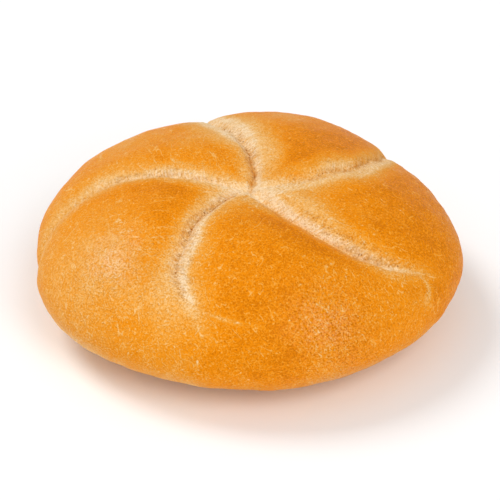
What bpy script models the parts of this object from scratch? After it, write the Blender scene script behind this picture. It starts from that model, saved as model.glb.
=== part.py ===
"""A kaiser roll: one baked piece of dough, its top folded into five petals that wind round a sunken centre.

The roll stands on its flat sole at z = 0, with +Z up. Seen from the front, which is -Y, the five folds leave the
centre to the back, left, front left, front right and right, and each turns anticlockwise on its way to the rim.
Every petal rises steeply out of the fold on its clockwise side and slopes gently down into the next one.
"""

import math
from dataclasses import dataclass

import bmesh
import bpy
import numpy as np

# Driving dimensions, in metres
BELLY_RADIUS = 0.053
BELLY_HEIGHT = 0.0143
CROWN_RISE = 0.0239
DIMPLE_DEPTH = 0.0041
CREASE_ROUNDING = 0.0006
CHANNEL_DEPTH = 0.0006
CHANNEL_HALF_WIDTH = 0.0016
UNEVENNESS = 0.0003
# How far the star's centre sits from the middle of the belly, to the right and to the back
CROWN_LEAN = (0.0003, -0.0021)

# The radii of the flat sole and of the dimple, as shares of the belly's
SOLE_SHARE = 0.60
DIMPLE_SHARE = 0.34
# How the body draws in above and below the belly: 1 is an ellipse, and more is nearer a cone
UPPER_TAPER = 1.15
LOWER_TAPER = 1.30


@dataclass(frozen=True)
class Fold:
    """One fold of the star, on its way from the centre over the crown and down the side.

    Along it, 0 is the centre, 1 the belly and 2 the sole's rim.
    """

    bearing: float  # degrees anticlockwise from +X, where it leaves the centre
    sweep: float  # degrees that it turns by the time it reaches the belly
    bend: float  # the power that says how late it turns
    hook: float  # degrees that its far end turns beyond that
    depth: float  # metres, at its deepest
    fade_from: float  # where it starts to grow shallow
    fade_to: float  # where it has run out
    wall: float  # metres across the wall on its anticlockwise side
    slope: float  # metres across the slope on its clockwise side
    camber: float  # metres that the petal on its anticlockwise side swells


BACK_FOLD = Fold(70, 42, 0.49, -6, 0.0022, fade_from=0.29, fade_to=1.70, wall=0.022, slope=0.014, camber=0.0)
LEFT_FOLD = Fold(165, 29, 3.8, -2, 0.0024, fade_from=0.66, fade_to=1.50, wall=0.007, slope=0.014, camber=0.0004)
FRONT_LEFT_FOLD = Fold(186, 60, 0.35, 24, 0.0025, fade_from=0.35, fade_to=0.78, wall=0.007, slope=0.014, camber=0.0001)
FRONT_RIGHT_FOLD = Fold(298, 29, 1.5, 11, 0.0025, fade_from=0.45, fade_to=0.89, wall=0.007, slope=0.013, camber=0.0)
RIGHT_FOLD = Fold(365, 41, 1.5, -4, 0.0011, fade_from=0.32, fade_to=1.45, wall=0.007, slope=0.015, camber=0.0005)
FOLDS = (BACK_FOLD, LEFT_FOLD, FRONT_LEFT_FOLD, FRONT_RIGHT_FOLD, RIGHT_FOLD)

# How late a fold's end hooks
HOOK_BEND = 6.0
# How hollow the gentle slope into a fold is, and how square the channel at its foot
SLOPE_HOLLOW = 2.2
CHANNEL_SQUARENESS = 4.0
# The share of their depth that the folds have where they meet, and how far out they reach the whole of it
DEPTH_AT_CENTRE = 0.72
WHOLE_DEPTH_FROM = 0.3
# How sharply two folds are kept apart near the centre: a higher power is sharper
MEETING_POWER = 4.0
# Where the petals' camber and the unevenness of the dough have run out on the way to the sole
CAMBER_END = 1.6
UNEVEN_FADE = (1.3, 1.9)

# The outline's slow swells, as shares of the radius: the cosine and the sine of the bearing, of twice it, and on
RIM_SWELLS = ((-0.0186, -0.0005), (0.0046, -0.0057), (-0.0013, -0.0163), (0.0044, -0.0039), (0.0079, -0.0065))
# The dough's unevenness: each wave's length in metres, its bearing and its phase in degrees
DOUGH_WAVES = ((0.061, 23, 40), (0.054, 117, 120), (0.033, -38, 230), (0.034, 70, 305))

# The grid: columns from one fold to the next, and rings from the crown down to the middle of the sole
COLUMNS_PER_PETAL = 22
CROWN_RINGS = 35
SIDE_RINGS = 9
SOLE_RINGS = 1
# How much closer the columns stand beside a fold than in the middle of a petal, from 0 to 1
COLUMN_CROWDING = 0.6
# A column this near to a fold, in columns, lies on it
ON_FOLD = 1e-4

CRUST_COLOUR = (0.80, 0.33, 0.06, 1.0)
CRUST_ROUGHNESS = 0.5


def smooth_step(low, high, value):
    """0 below low, 1 above high, and an even ease between them."""
    share = np.clip((value - low) / (high - low), 0.0, 1.0)
    return share * share * (3.0 - 2.0 * share)


def plan_share_at(travel):
    """How far from the axis the body is at that travel, as a share of the belly's radius: past the belly it stays 1."""
    return np.sin(np.clip(travel, 0.0, 1.0) * math.pi / 2) ** UPPER_TAPER


def rim_radius(bearing):
    """The belly's radius at a bearing."""
    swell = 0.0
    for count, (along_x, along_y) in enumerate(RIM_SWELLS, start=1):
        swell = swell + along_x * np.cos(count * bearing) + along_y * np.sin(count * bearing)
    return BELLY_RADIUS * (1.0 + swell)


def body_point(bearing, travel):
    """The smooth body without folds: the radius, the height and the outward normal's radial and upright parts.

    travel is 0 at the crown, 1 at the belly and 2 at the sole's rim.
    """
    angle = np.clip(travel, 0.0, 2.0) * math.pi / 2
    sine = np.maximum(np.sin(angle), 0.0)
    cosine = np.abs(np.cos(angle))
    above = travel <= 1.0
    taper = np.where(above, UPPER_TAPER, LOWER_TAPER)
    inner = np.where(above, 0.0, SOLE_SHARE)
    tall = np.where(above, CROWN_RISE, -BELLY_HEIGHT)
    rim = rim_radius(bearing)
    radius = rim * (inner + (1.0 - inner) * sine**taper)
    height = BELLY_HEIGHT + tall * cosine
    outward = np.abs(tall) * sine ** (2.0 - taper)
    upward = np.sign(tall) * rim * (1.0 - inner) * taper * cosine
    length = np.hypot(outward, upward)
    return radius, height, outward / length, upward / length


def dough_unevenness(x, y):
    """The slow rise and fall of hand-shaped dough, from -1 to 1."""
    total = 0.0
    for length, bearing, phase in DOUGH_WAVES:
        along = x * math.cos(math.radians(bearing)) + y * math.sin(math.radians(bearing))
        total = total + np.sin(2.0 * math.pi * along / length + math.radians(phase))
    return total / len(DOUGH_WAVES)


def fold_bearing(fold, plan_share):
    """The bearing of a fold, in radians, at that share of the belly's radius."""
    return np.radians(fold.bearing + fold.sweep * plan_share**fold.bend + fold.hook * plan_share**HOOK_BEND)


def fold_offset(fold, bearing, radius, plan_share):
    """How far a point lies from a fold, in metres across it: more than 0 on its anticlockwise side."""
    offset = bearing - fold_bearing(fold, plan_share)
    offset = (offset + math.pi) % (2.0 * math.pi) - math.pi
    turning = fold.sweep * fold.bend * plan_share**fold.bend
    turning = turning + fold.hook * HOOK_BEND * plan_share**HOOK_BEND
    return radius * offset / np.sqrt(1.0 + np.radians(turning) ** 2)


def fold_cut(fold, bearing, radius, travel):
    """How deep one fold cuts the body, in metres: a rounded wall, a hollow slope and a narrow channel between them."""
    across = fold_offset(fold, bearing, radius, plan_share_at(travel))
    distance = np.sqrt(across**2 + CREASE_ROUNDING**2) - CREASE_ROUNDING
    on_wall = np.clip(1.0 - distance / fold.wall, 0.0, 1.0)
    on_slope = np.clip(1.0 - distance / fold.slope, 0.0, 1.0)
    section = np.where(across > 0.0, 1.0 - np.sqrt(1.0 - on_wall**2), on_slope**SLOPE_HOLLOW)
    channel = np.exp(-(np.abs(across / CHANNEL_HALF_WIDTH) ** CHANNEL_SQUARENESS))
    near_centre = DEPTH_AT_CENTRE + (1.0 - DEPTH_AT_CENTRE) * smooth_step(0.0, WHOLE_DEPTH_FROM, travel)
    present = near_centre * (1.0 - smooth_step(fold.fade_from, fold.fade_to, travel))
    return present * (fold.depth * section + CHANNEL_DEPTH * channel)


def all_cuts(bearing, radius, travel):
    """The depth of the five folds together: beside the centre, where they meet, they run into each other."""
    total = sum(fold_cut(fold, bearing, radius, travel) ** MEETING_POWER for fold in FOLDS)
    return total ** (1.0 / MEETING_POWER)


def surface_point(bearing, travel, camber, petal_share):
    """A point of the crust above the sole, petal_share being 0 at a petal's own fold and 1 at the next one."""
    radius, height, outward, upward = body_point(bearing, travel)
    plan_share = plan_share_at(travel)
    swelling = np.sin(math.pi * petal_share) * np.sin(math.pi * np.clip(travel / CAMBER_END, 0.0, 1.0))
    uneven = dough_unevenness(radius * np.cos(bearing), radius * np.sin(bearing))
    uneven = uneven * (1.0 - smooth_step(UNEVEN_FADE[0], UNEVEN_FADE[1], travel))
    lift = camber * swelling + UNEVENNESS * uneven - all_cuts(bearing, radius, travel)
    radius = radius + outward * lift
    dimple = DIMPLE_DEPTH * np.exp(-((plan_share / DIMPLE_SHARE) ** 2))
    lean = 1.0 - plan_share**2
    x = radius * np.cos(bearing) + CROWN_LEAN[0] * lean
    y = radius * np.sin(bearing) + CROWN_LEAN[1] * lean
    return x, y, height + upward * lift - dimple


def grid_bearing(column, travel):
    """The bearing of a grid column, which follows the folds, the camber of its petal and its place across it.

    column runs from 0 to the number of folds, a whole number lying on a fold.
    """
    own = np.floor(column).astype(int) % len(FOLDS)
    step = column - np.floor(column)
    petal_share = step - COLUMN_CROWDING * np.sin(2.0 * math.pi * step) / (2.0 * math.pi)
    plan_share = plan_share_at(travel)
    bearings = np.array([fold_bearing(fold, plan_share) for fold in FOLDS])
    point = np.arange(len(column))
    start = bearings[own, point]
    gap = (bearings[(own + 1) % len(FOLDS), point] - start) % (2.0 * math.pi)
    camber = np.array([fold.camber for fold in FOLDS])[own]
    return start + petal_share * gap, camber, petal_share


def shape_roll(sphere):
    """Moves the points of a unit sphere, given as rows, to the roll's surface."""
    rings = CROWN_RINGS + SIDE_RINGS + SOLE_RINGS
    ring = np.arccos(np.clip(sphere[:, 2], -1.0, 1.0)) / math.pi * rings
    column = (np.arctan2(sphere[:, 1], sphere[:, 0]) / (2.0 * math.pi) % 1.0) * len(FOLDS)
    column = np.where(np.abs(column - np.round(column)) < ON_FOLD, np.round(column), column)
    travel = np.where(ring <= CROWN_RINGS, ring / CROWN_RINGS, 1.0 + (ring - CROWN_RINGS) / SIDE_RINGS)
    travel = np.minimum(travel, 2.0)
    bearing, camber, petal_share = grid_bearing(column, travel)
    x, y, z = surface_point(bearing, travel, camber, petal_share)
    in_sole = np.clip((rings - ring) / SOLE_RINGS, 0.0, 1.0)
    z = np.where(travel > 2.0 - ON_FOLD, 0.0, z)
    return np.stack([x * in_sole, y * in_sole, z], axis=1)


def centred(points):
    """The points, moved sideways so that the roll's box stands evenly round the axis."""
    middle = (points.min(axis=0) + points.max(axis=0)) / 2.0
    return points - np.array([middle[0], middle[1], 0.0])


def crust_material():
    """Golden-brown crust."""
    material = bpy.data.materials.new("crust")
    material.use_nodes = True
    shader = material.node_tree.nodes["Principled BSDF"]
    shader.inputs["Base Color"].default_value = CRUST_COLOUR
    shader.inputs["Roughness"].default_value = CRUST_ROUGHNESS
    shader.inputs["Metallic"].default_value = 0.0
    material.diffuse_color = CRUST_COLOUR
    return material


def make_roll(collection):
    """The roll as one object: a sphere whose columns wind along the folds, pulled to the shape of the dough."""
    mesh = bpy.data.meshes.new("roll")
    grid = bmesh.new()
    bmesh.ops.create_uvsphere(
        grid,
        u_segments=COLUMNS_PER_PETAL * len(FOLDS),
        v_segments=CROWN_RINGS + SIDE_RINGS + SOLE_RINGS,
        radius=1.0,
    )
    sphere = np.array([vertex.co for vertex in grid.verts], dtype=float)
    for vertex, point in zip(grid.verts, centred(shape_roll(sphere))):
        vertex.co = point
    grid.to_mesh(mesh)
    grid.free()
    mesh.shade_smooth()
    mesh.materials.append(crust_material())
    roll = bpy.data.objects.new("roll", mesh)
    collection.objects.link(roll)
    return roll


def main():
    """Clears the scene and builds the roll."""
    for old in list(bpy.data.objects):
        bpy.data.objects.remove(old)
    collection = bpy.data.collections.new("kaiser_roll")
    bpy.context.scene.collection.children.link(collection)
    make_roll(collection)


main()
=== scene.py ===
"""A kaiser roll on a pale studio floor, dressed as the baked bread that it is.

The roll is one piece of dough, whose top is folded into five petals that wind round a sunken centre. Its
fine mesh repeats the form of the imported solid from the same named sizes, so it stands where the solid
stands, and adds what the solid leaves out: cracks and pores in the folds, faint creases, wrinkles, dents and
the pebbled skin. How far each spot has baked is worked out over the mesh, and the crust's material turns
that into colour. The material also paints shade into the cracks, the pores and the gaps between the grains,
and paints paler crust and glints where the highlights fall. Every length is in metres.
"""

import logging
import math
from dataclasses import dataclass
from enum import Enum

import bmesh
import bpy
import numpy as np
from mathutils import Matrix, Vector


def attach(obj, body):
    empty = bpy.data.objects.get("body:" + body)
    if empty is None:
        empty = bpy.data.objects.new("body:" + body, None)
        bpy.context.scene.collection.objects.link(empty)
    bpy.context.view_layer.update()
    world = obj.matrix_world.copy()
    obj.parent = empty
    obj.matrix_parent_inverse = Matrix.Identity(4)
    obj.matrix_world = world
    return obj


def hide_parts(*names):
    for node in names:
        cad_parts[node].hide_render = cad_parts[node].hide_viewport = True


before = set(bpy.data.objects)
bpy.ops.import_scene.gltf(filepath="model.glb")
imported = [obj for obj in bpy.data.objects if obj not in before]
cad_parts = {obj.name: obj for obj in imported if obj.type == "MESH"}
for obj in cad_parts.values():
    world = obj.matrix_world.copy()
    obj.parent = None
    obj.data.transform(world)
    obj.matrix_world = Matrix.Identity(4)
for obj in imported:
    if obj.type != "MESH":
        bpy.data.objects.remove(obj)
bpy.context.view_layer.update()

PETAL_PLACE = "petal_place"
BELLY_RADIUS = 0.053
WAVE_SPREAD = (0.75, 1.35)  # shares of its own wavelength that unevenness is made of

log = logging.getLogger("kaiser_roll")

Array = np.ndarray
Span = tuple[float, float]
Triple = tuple[float, float, float]
Socket = bpy.types.NodeSocket
Input = Socket | float | tuple[float, ...]


def smooth_step(low: float, high: float, value: Array) -> Array:
    """Eases numbers from 0 at low to 1 at high."""
    share = np.clip((value - low) / (high - low), 0.0, 1.0)
    return share * share * (3.0 - 2.0 * share)


def linear_colour(red: int, green: int, blue: int) -> tuple[float, float, float, float]:
    """Turns a colour as a screen shows it into the one that a shader works with.

    Args:
        red: from 0 to 255.
        green: from 0 to 255.
        blue: from 0 to 255.

    Returns:
        The linear red, green and blue, and an alpha of 1.
    """
    shares = [level / 255.0 for level in (red, green, blue)]
    linear = [((share + 0.055) / 1.055) ** 2.4 if share > 0.04045 else share / 12.92 for share in shares]
    return (linear[0], linear[1], linear[2], 1.0)


def wave_noise(points: Array, length: float, seed: int, count: int = 28) -> Array:
    """Makes smooth, seeded unevenness of about one wavelength.

    Args:
        points: the places, as rows of x, y and z.
        length: the wavelength.
        seed: the number that fixes the pattern.
        count: how many waves are added up.

    Returns:
        One number for each place, 0 on average and mostly between -2 and 2.
    """
    chance = np.random.default_rng(seed)
    total = np.zeros(len(points))
    for _ in range(count):
        direction = chance.normal(size=3)
        direction /= np.linalg.norm(direction)
        wavelength = length * chance.uniform(*WAVE_SPREAD)
        phase = chance.uniform(0.0, 2.0 * math.pi)
        total += np.sin(points @ direction * (2.0 * math.pi / wavelength) + phase)
    return total * math.sqrt(2.0 / count)


class Mark(Enum):
    """What a patch of the crust is like."""

    BROWN = "baked darker"
    # Baked less, and in two patches paler crust painted as a highlight where the sheen falls
    GOLDEN_AND_SHEEN = "baked less"
    WRINKLED = "skin drawn into fine wrinkles"
    # Tiny pale blisters, with the glints of the sheen painted over them where the highlights fall
    BLISTERS_AND_GLINTS = "covered with tiny pale blisters"
    GLOSSY = "glossier than the rest"


@dataclass(frozen=True)
class Bake:
    """How pale the dough has stayed on one side of a fold: pale beside it, golden further off, then brown.

    Each station along the fold gives its travel, how far the pale dough reaches, how far the golden dough
    reaches and how pale it is there. The travel is 0 at the centre, 1 at the belly and 2 at the sole's rim.
    """

    stations: tuple[tuple[float, float, float, float], ...]
    softness: float  # half the width over which the pale dough turns golden
    pale_part: float  # the share of the paleness that is the pale dough's own

    golden_fade = (0.25, 1.0)
    rounding_steps = (-0.03, -0.01, 0.01, 0.03)

    def paleness(self, distance: Array, travel: Array) -> Array:
        """Finds how pale the dough is.

        Args:
            distance: how far each point lies from the fold.
            travel: where along the fold it lies.

        Returns:
            The mask, from 0 to the stations' own amount.
        """
        pale_reach, gold_reach, amount = (self.between_stations(travel, column) for column in (1, 2, 3))
        pale = 1.0 - smooth_step(-self.softness, self.softness, distance - pale_reach)
        golden = 1.0 - smooth_step(*self.golden_fade, distance / gold_reach)
        return amount * (self.pale_part * pale + (1.0 - self.pale_part) * golden)

    def between_stations(self, travel: Array, column: int) -> Array:
        """Reads one of the stations' values anywhere along the fold, rounded off at the stations.

        Args:
            travel: where along the fold.
            column: which of the values.

        Returns:
            The value at each travel.
        """
        places = [station[0] for station in self.stations]
        values = [station[column] for station in self.stations]
        around = [np.interp(travel + step, places, values) for step in self.rounding_steps]
        return sum(around) / len(around)


@dataclass(frozen=True)
class CrackShade:
    """A dark line along part of a fold: a thin crack where two petals press together, darkened partly for its
    browner dough and partly as painted shade down in it; with no depth it is a soft band of painted shade
    only.
    """

    offset: float  # metres across from the fold's own line, more than 0 on the wall side
    half_width: float
    depth: float
    opens: Span  # the travels between which it opens
    closes: Span  # the travels between which it closes
    # How far the colour is darkened on the line: the crack's browner dough and painted shade
    darkness: float
    wander: float

    wander_waves = ((47.0, 1.0, 0.0), (91.0, 0.6, 2.0))  # radians for each travel, size and phase
    break_waves = ((171.0, 1.0), (73.0, 0.4))  # radians for each travel, and phase
    usual_strength = 0.68
    strength_swing = 0.32

    def mask(self, across: Array, travel: Array) -> Array:
        """Finds how far into the crack each point lies.

        Args:
            across: each point's signed distance from the fold.
            travel: where along the fold it lies.

        Returns:
            The mask, up to 1 on the crack's own line and 0 away from it.
        """
        wandering = sum(size * np.sin(rate * travel + phase) for rate, size, phase in self.wander_waves)
        line = self.offset + self.wander * wandering
        present = smooth_step(*self.opens, travel) * (1.0 - smooth_step(*self.closes, travel))
        fast, slow = (np.sin(rate * travel + phase) for rate, phase in self.break_waves)
        broken = self.usual_strength + self.strength_swing * fast * slow
        return present * broken * np.exp(-(((across - line) / self.half_width) ** 2))


@dataclass(frozen=True)
class Crest:
    """A browner band of crust that runs beside a fold."""

    amount: float
    offset: float  # metres across from the fold's own line, more than 0 on the wall side
    half_width: float
    begins: float  # the travel where it begins
    ends: float

    begin_fade = (-0.06, 0.06)  # travels before and after that
    end_fade = (-0.12, 0.18)

    def browning(self, across: Array, travel: Array) -> Array:
        """Finds how much browner each point is.

        Args:
            across: each point's signed distance from the fold.
            travel: where along the fold it lies.

        Returns:
            The browning, where 0 is none.
        """
        band = np.exp(-(((across - self.offset) / self.half_width) ** 2))
        begun = smooth_step(*self.begin_fade, travel - self.begins)
        ended = smooth_step(*self.end_fade, travel - self.ends)
        return self.amount * band * begun * (1.0 - ended)


@dataclass(frozen=True)
class PoreRow:
    """A row of small torn pores along part of a fold."""

    offset: float  # metres across from the fold's own line, more than 0 on the wall side
    spread: float  # metres that the pores stray to either side
    begins: float  # the travel where it begins
    ends: float
    count: int
    seed: int
    density: float  # how torn the dough is round the pores

    radius = 0.00035
    radius_spread = (0.6, 1.35)
    depth = 0.00025
    depth_spread = (0.5, 1.2)
    torn_spread = 1.3
    begin_fade = 0.04
    end_fade = 0.05

    def pits(self) -> Array:
        """Scatters the pores.

        Returns:
            Rows of the pores' travel, place across the fold, radius and depth.
        """
        chance = np.random.default_rng(self.seed)
        travel = chance.uniform(self.begins, self.ends, self.count)
        across = self.offset + self.spread * chance.normal(size=self.count)
        radius = self.radius * chance.uniform(*self.radius_spread, self.count)
        depth = self.depth * chance.uniform(*self.depth_spread, self.count)
        return np.stack([travel, across, radius, depth], axis=1)

    def torn(self, across: Array, travel: Array) -> Array:
        """Finds how torn the dough is round the pores.

        Args:
            across: each point's signed distance from the fold.
            travel: where along the fold it lies.

        Returns:
            The mask, from 0 to the row's density.
        """
        beside = self.density * np.exp(-(((across - self.offset) / (self.torn_spread * self.spread)) ** 2))
        beside *= smooth_step(self.begins - self.begin_fade, self.begins, travel)
        beside *= 1.0 - smooth_step(self.ends, self.ends + self.end_fade, travel)
        return beside


@dataclass(frozen=True)
class DoughBody:
    """The smooth domed body before it is folded, standing on its flat sole.

    A point of it is given by its bearing, anticlockwise from +X, and its travel: 0 is the crown, 1 the belly
    and 2 the sole's rim.
    """

    belly_radius: float = BELLY_RADIUS
    belly_height: float = 0.0143
    crown_rise: float = 0.0239
    dimple_depth: float = 0.0041
    dimple_share: float = 0.34
    crown_lean: Span = (0.0003, -0.0021)  # metres along +X and +Y
    sole_share: float = 0.60
    upper_taper: float = 1.15
    lower_taper: float = 1.30
    rim_swells: tuple[Span, ...] = (  # cosine and sine parts of one wave round the rim, of two, and so on
        (-0.0186, -0.0005),
        (0.0046, -0.0057),
        (-0.0013, -0.0163),
        (0.0044, -0.0039),
        (0.0079, -0.0065),
    )
    unevenness: float = 0.0003
    uneven_fade: Span = (1.3, 1.9)
    dough_waves: tuple[Triple, ...] = (  # length in metres, heading and phase in degrees
        (0.061, 23, 40),
        (0.054, 117, 120),
        (0.033, -38, 230),
        (0.034, 70, 305),
    )

    travel_samples = 1201

    def plan_share(self, travel: Array) -> Array:
        """How far from the axis the body is at each travel, as a share of the belly's radius."""
        return np.sin(np.clip(travel, 0.0, 1.0) * math.pi / 2.0) ** self.upper_taper

    def rim_radius(self, bearing: Array) -> Array:
        """Finds the belly's radius, with the outline's slow swells.

        Args:
            bearing: the bearings, in radians.

        Returns:
            The radius at each bearing.
        """
        swell = np.zeros_like(bearing)
        for count, (along_x, along_y) in enumerate(self.rim_swells, start=1):
            swell = swell + along_x * np.cos(count * bearing) + along_y * np.sin(count * bearing)
        return self.belly_radius * (1.0 + swell)

    def shell(self, bearing: Array, travel: Array) -> tuple[Array, Array, Array, Array]:
        """Finds the smooth body's surface.

        Args:
            bearing: the points' bearings, in radians.
            travel: the points' travels.

        Returns:
            The radius, the height, and the outward normal's radial and upright parts.
        """
        angle = np.clip(travel, 0.0, 2.0) * math.pi / 2.0
        sine = np.maximum(np.sin(angle), 0.0)
        cosine = np.abs(np.cos(angle))
        above = travel <= 1.0
        taper = np.where(above, self.upper_taper, self.lower_taper)
        inner = np.where(above, 0.0, self.sole_share)
        tall = np.where(above, self.crown_rise, -self.belly_height)
        rim = self.rim_radius(bearing)
        radius = rim * (inner + (1.0 - inner) * sine**taper)
        height = self.belly_height + tall * cosine
        outward = np.abs(tall) * sine ** (2.0 - taper)
        upward = np.sign(tall) * rim * (1.0 - inner) * taper * cosine
        length = np.hypot(outward, upward)
        return radius, height, outward / length, upward / length

    def slow_unevenness(self, bearing: Array, travel: Array) -> Array:
        """Finds the slow rise and fall of hand-shaped dough.

        Args:
            bearing: the points' bearings, in radians.
            travel: the points' travels.

        Returns:
            How far each point is raised.
        """
        radius = self.shell(bearing, travel)[0]
        total = np.zeros_like(radius)
        for length, heading, phase in self.dough_waves:
            across = math.radians(heading)
            along = radius * (np.cos(bearing) * math.cos(across) + np.sin(bearing) * math.sin(across))
            total = total + np.sin(2.0 * math.pi * along / length + math.radians(phase))
        fade = 1.0 - smooth_step(*self.uneven_fade, travel)
        return self.unevenness * fade * total / len(self.dough_waves)

    def raised(self, bearing: Array, travel: Array, lift: Array) -> Array:
        """Places points above or below the smooth body.

        Args:
            bearing: the points' bearings, in radians.
            travel: the points' travels.
            lift: how far each point is raised along the body's normal.

        Returns:
            The points, as rows of x, y and z.
        """
        radius, height, outward, upward = self.shell(bearing, travel)
        radius = radius + outward * lift
        plan_share = self.plan_share(travel)
        dimple = self.dimple_depth * np.exp(-((plan_share / self.dimple_share) ** 2))
        lean = 1.0 - plan_share**2
        x = radius * np.cos(bearing) + self.crown_lean[0] * lean
        y = radius * np.sin(bearing) + self.crown_lean[1] * lean
        return np.stack([x, y, height + upward * lift - dimple], axis=1)

    def even_travels(self, ring_share: Array) -> Array:
        """Spaces rings evenly over the skin from the crown to the sole's rim.

        Args:
            ring_share: each ring's place, from 0 at the crown to 1 at the sole's rim.

        Returns:
            The rings' travels.
        """
        travel = np.linspace(0.0, 2.0, self.travel_samples)
        radius, height, _, _ = self.shell(np.zeros_like(travel), travel)
        steps = np.hypot(np.diff(radius), np.diff(height))
        arc = np.concatenate([[0.0], np.cumsum(steps)])
        return np.interp(ring_share * arc[-1], arc, travel)


@dataclass(frozen=True)
class Fold:
    """One fold of the star, on its way from the centre over the crown and down the side.

    Places along it are its travel: 0 is the centre, 1 the belly and 2 the sole's rim.
    """

    bearing: float  # degrees anticlockwise from +X, where it leaves the centre
    sweep: float  # degrees that it turns by the time it reaches the belly
    bend: float  # the power that says how late it turns
    hook: float  # degrees that its far end turns beyond that
    depth: float
    fades: Span  # the travels between which it runs out
    wall: float  # metres across the steep rounded wall, on its anticlockwise side
    slope: float  # metres across the gentle slope, on its clockwise side
    camber: float  # metres that the petal on its anticlockwise side swells
    wander: Triple  # metres, waves and phase of its small wandering
    wall_bake: Bake
    slope_bake: Bake
    crests: tuple[Crest, ...]
    pores: tuple[PoreRow, ...]
    crack_shades: tuple[CrackShade, ...] = ()
    aside: float = 0.0  # metres that its line is set towards its wall, beyond the centre

    hook_bend = 6.0
    wander_grows = (0.05, 0.3)  # shares of the belly's radius
    aside_grows = (0.0, 0.2)
    least_share = 0.1
    side_softness = 0.0006
    slope_hollow = 2.2
    channel_depth = 0.0006
    channel_half_width = 0.0016
    channel_squareness = 4.0
    crease_rounding = 0.0006
    depth_at_centre = 0.72
    whole_depth_from = 0.3

    def bearing_at(self, plan_share: Array) -> Array:
        """Finds the fold's bearing.

        Args:
            plan_share: how far out, as a share of the belly's radius.

        Returns:
            The bearing in radians.
        """
        smooth = self.bearing + self.sweep * plan_share**self.bend + self.hook * plan_share**self.hook_bend
        size, waves, phase = self.wander
        wandering = size * np.sin(2.0 * math.pi * waves * plan_share + phase)
        wandering = wandering * smooth_step(*self.wander_grows, plan_share)
        return np.radians(smooth) + wandering / (BELLY_RADIUS * np.maximum(plan_share, self.least_share))

    def across(self, body: DoughBody, bearing: Array, travel: Array) -> Array:
        """Finds how far points lie from the fold, measured across it.

        Args:
            body: the body that the fold is in.
            bearing: the points' bearings, in radians.
            travel: the points' travels.

        Returns:
            The distances, more than 0 on the wall side.
        """
        plan_share = body.plan_share(travel)
        radius = body.shell(bearing, travel)[0]
        offset = bearing - self.bearing_at(plan_share)
        offset = (offset + math.pi) % (2.0 * math.pi) - math.pi
        turning = self.sweep * self.bend * plan_share**self.bend
        turning = turning + self.hook * self.hook_bend * plan_share**self.hook_bend
        pushed = self.aside * smooth_step(*self.aside_grows, plan_share)
        return radius * offset / np.sqrt(1.0 + np.radians(turning) ** 2) - pushed

    def cut(self, across: Array, travel: Array) -> Array:
        """Finds how deep the fold cuts the body: a rounded wall, a hollow slope and a channel between them.

        Args:
            across: the points' signed distances from the fold.
            travel: the points' travels.

        Returns:
            The depths.
        """
        distance = np.sqrt(across**2 + self.crease_rounding**2) - self.crease_rounding
        on_wall = np.clip(1.0 - distance / self.wall, 0.0, 1.0)
        on_slope = np.clip(1.0 - distance / self.slope, 0.0, 1.0)
        section = np.where(across > 0.0, 1.0 - np.sqrt(1.0 - on_wall**2), on_slope**self.slope_hollow)
        channel = np.exp(-(np.abs(across / self.channel_half_width) ** self.channel_squareness))
        risen = smooth_step(0.0, self.whole_depth_from, travel)
        near_centre = self.depth_at_centre + (1.0 - self.depth_at_centre) * risen
        present = near_centre * (1.0 - smooth_step(*self.fades, travel))
        return present * (self.depth * section + self.channel_depth * channel)

    def paleness(self, across: Array, travel: Array) -> Array:
        """Finds how pale the dough is beside the fold, on both sides.

        Args:
            across: the points' signed distances from the fold.
            travel: the points' travels.

        Returns:
            The mask, where 0 is crust and 1 or more is pale dough.
        """
        wall = self.wall_bake.paleness(np.abs(across), travel)
        slope = self.slope_bake.paleness(np.abs(across), travel)
        return slope + (wall - slope) * smooth_step(-self.side_softness, self.side_softness, across)

    def browning(self, across: Array, travel: Array) -> Array:
        """Finds how much browner the crests beside the fold have baked.

        Args:
            across: the points' signed distances from the fold.
            travel: the points' travels.

        Returns:
            The browning, where 0 is none.
        """
        total = np.zeros_like(across)
        for crest in self.crests:
            total = total + crest.browning(across, travel)
        return total


BACK_FOLD = Fold(
    bearing=70,
    sweep=42,
    bend=0.49,
    hook=-6,
    depth=0.0022,
    fades=(0.29, 1.70),
    wall=0.022,
    slope=0.014,
    camber=0.0,
    wander=(0.00018, 5.0, 0.4),
    wall_bake=Bake(
        (
            (0.00, 0.0006, 0.0080, 0.90),
            (0.10, 0.0005, 0.0066, 0.92),
            (0.20, 0.0006, 0.0058, 0.90),
            (0.28, 0.0022, 0.0095, 1.00),
            (0.34, 0.0040, 0.0130, 1.05),
            (0.46, 0.0048, 0.0140, 1.08),
            (0.80, 0.0045, 0.0110, 0.85),
            (1.30, 0.0020, 0.0060, 0.00),
        ),
        softness=0.0016,
        pale_part=0.45,
    ),
    slope_bake=Bake(
        (
            (0.00, 0.0022, 0.0110, 1.05),
            (0.12, 0.0012, 0.0128, 1.05),
            (0.22, 0.0019, 0.0130, 1.08),
            (0.30, 0.0036, 0.0135, 1.10),
            (0.46, 0.0048, 0.0130, 1.10),
            (0.85, 0.0045, 0.0110, 0.85),
            (1.30, 0.0020, 0.0060, 0.00),
        ),
        softness=0.0017,
        pale_part=0.42,
    ),
    crests=(Crest(0.05, -0.0125, 0.0040, 0.14, 0.50),),
    aside=-0.0006,
    crack_shades=(CrackShade(0.0003, 0.00070, 0.0005, (0.00, 0.012), (0.20, 0.36), darkness=0.66, wander=0.00018),),
    pores=(
        PoreRow(0.0002, 0.0004, 0.03, 0.26, 30, seed=19, density=0.9),
        PoreRow(-0.0004, 0.0009, 0.20, 0.50, 40, seed=11, density=0.7),
    ),
)
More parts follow.
